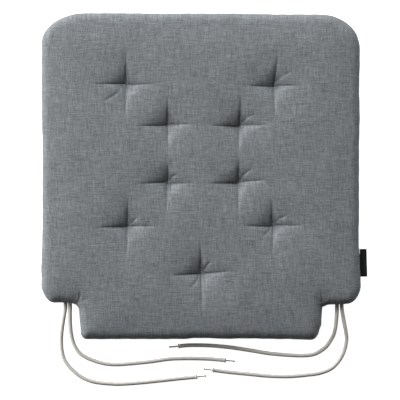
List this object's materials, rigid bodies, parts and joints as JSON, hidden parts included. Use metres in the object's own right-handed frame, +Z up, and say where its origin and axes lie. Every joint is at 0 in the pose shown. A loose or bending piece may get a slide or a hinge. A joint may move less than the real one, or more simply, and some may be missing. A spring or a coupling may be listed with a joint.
{
  "type": "tufted chair seat pad",
  "caption": "Flat square seat pad with tufted, padded fabric cover, notched rear corners for chair posts and cord ties.",
  "frame": {"origin": "centre of the pad's underside, the flat face it rests on", "axes": "+Z up out of the sitting face, +Y towards the seat's front edge, -Y towards the notched rear edge with the ties"},
  "size_m": [0.4097, 0.4694, 0.024],
  "materials": {
    "slate_weave": "matte plain weave of slubbed yarn, slate grey",
    "grey_thread": "matte twisted polyester thread",
    "white_fibre": "lofty polyester fibre",
    "cream_foam": "open-cell polyurethane foam",
    "cord_braid": "matte round braid, warm pale grey",
    "cord_core": "twisted core yarn",
    "cord_collar": "tight thread whipping with a faint sheen",
    "black_tape": "matte woven tape, black"
  },
  "bodies": {
    "pad": {"top_cover": "slate_weave", "bottom_cover": "slate_weave", "wadding_top": "white_fibre", "wadding_bottom": "white_fibre", "foam_core": "cream_foam", "edge_seam_thread": "grey_thread", "tuft_twine_1": "grey_thread", "tuft_twine_2": "grey_thread", "tuft_twine_3": "grey_thread", "tuft_twine_4": "grey_thread", "tuft_twine_5": "grey_thread", "tuft_twine_6": "grey_thread", "tuft_twine_7": "grey_thread", "tuft_twine_8": "grey_thread", "tuft_twine_9": "grey_thread", "tie_left_outer": "cord_braid", "tie_left_inner": "cord_braid", "tie_right_outer": "cord_braid", "tie_right_inner": "cord_braid", "tie_collar_left_outer": "cord_collar", "tie_collar_left_inner": "cord_collar", "tie_collar_right_outer": "cord_collar", "tie_collar_right_inner": "cord_collar", "tie_core_left_outer": "cord_core", "tie_core_left_inner": "cord_core", "tie_core_right_outer": "cord_core", "tie_core_right_inner": "cord_core", "tie_tack_left": "grey_thread", "tie_tack_right": "grey_thread", "label_tail": "black_tape"},
    "label": {"side_label": "black_tape"}
  },
  "joints": [
    {"name": "label_fold", "type": "hinge", "parent": "pad", "child": "label", "pos_m": [0.201, 0, 0.0109], "axis": [0, 1, 0], "range_deg": [-75, 75], "stiffness_Nm_per_rad": 0.0005}
  ]
}
